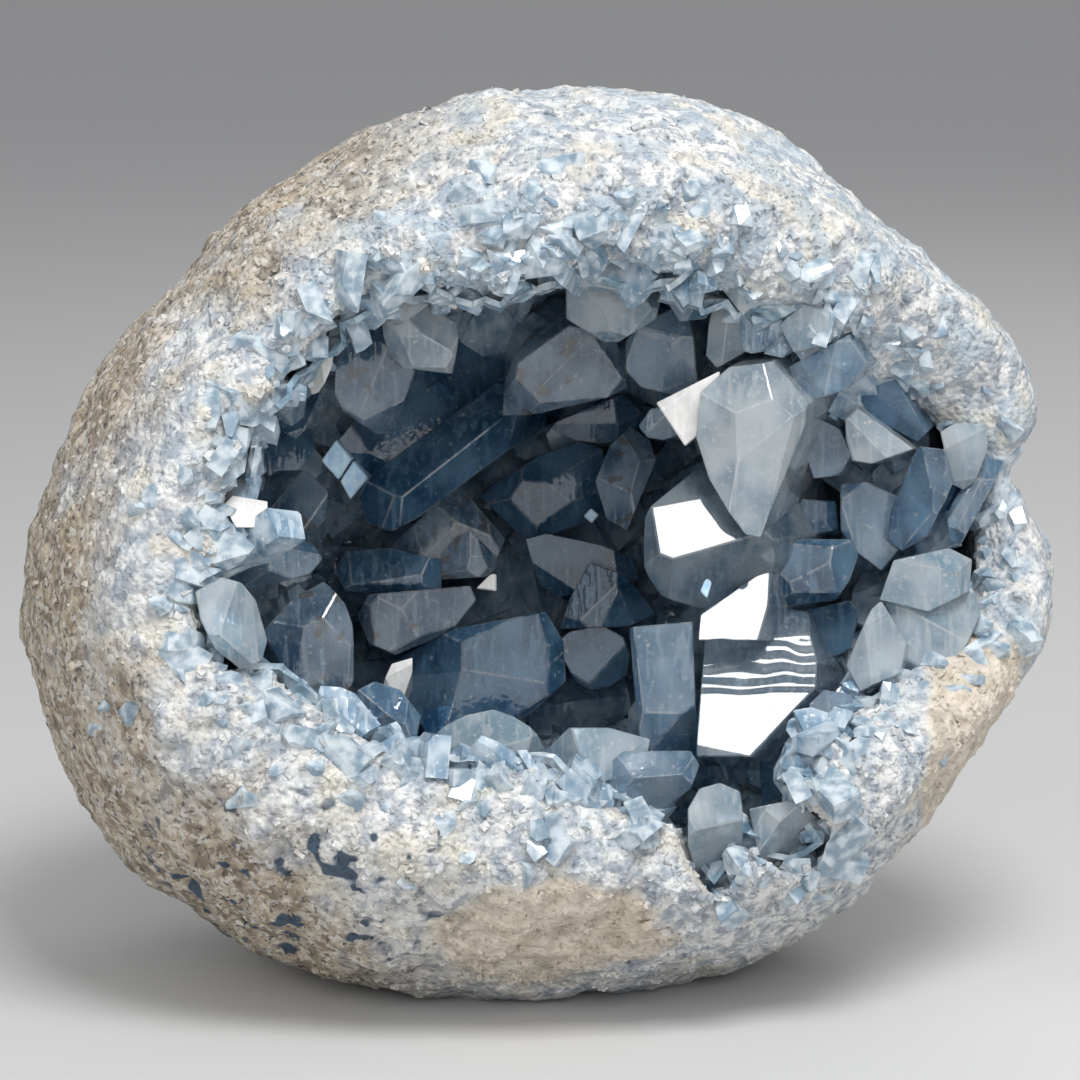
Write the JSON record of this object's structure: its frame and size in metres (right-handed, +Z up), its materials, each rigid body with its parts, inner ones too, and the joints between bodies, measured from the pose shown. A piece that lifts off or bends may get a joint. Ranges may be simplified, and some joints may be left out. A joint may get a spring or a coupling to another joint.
{
  "type": "celestite geode",
  "caption": "Rounded stone geode lying on a small flat, its open face full of pale to deep blue clear crystals inside a thick sugary white and grey stone rind.",
  "frame": {"origin": "middle of the floor plan of the whole geode, on the surface that it rests on", "axes": "+Z up, +X along the length of the nodule, to the right of someone who looks into the open face; the open face looks toward -Y and up by 10 degrees"},
  "size_m": [0.1779, 0.1316, 0.1518],
  "materials": {
    "rind_stone": "matte",
    "celestite": "polished"
  },
  "bodies": {
    "root": {"rind": "rind_stone", "crystal_crust": "celestite"}
  },
  "joints": []
}
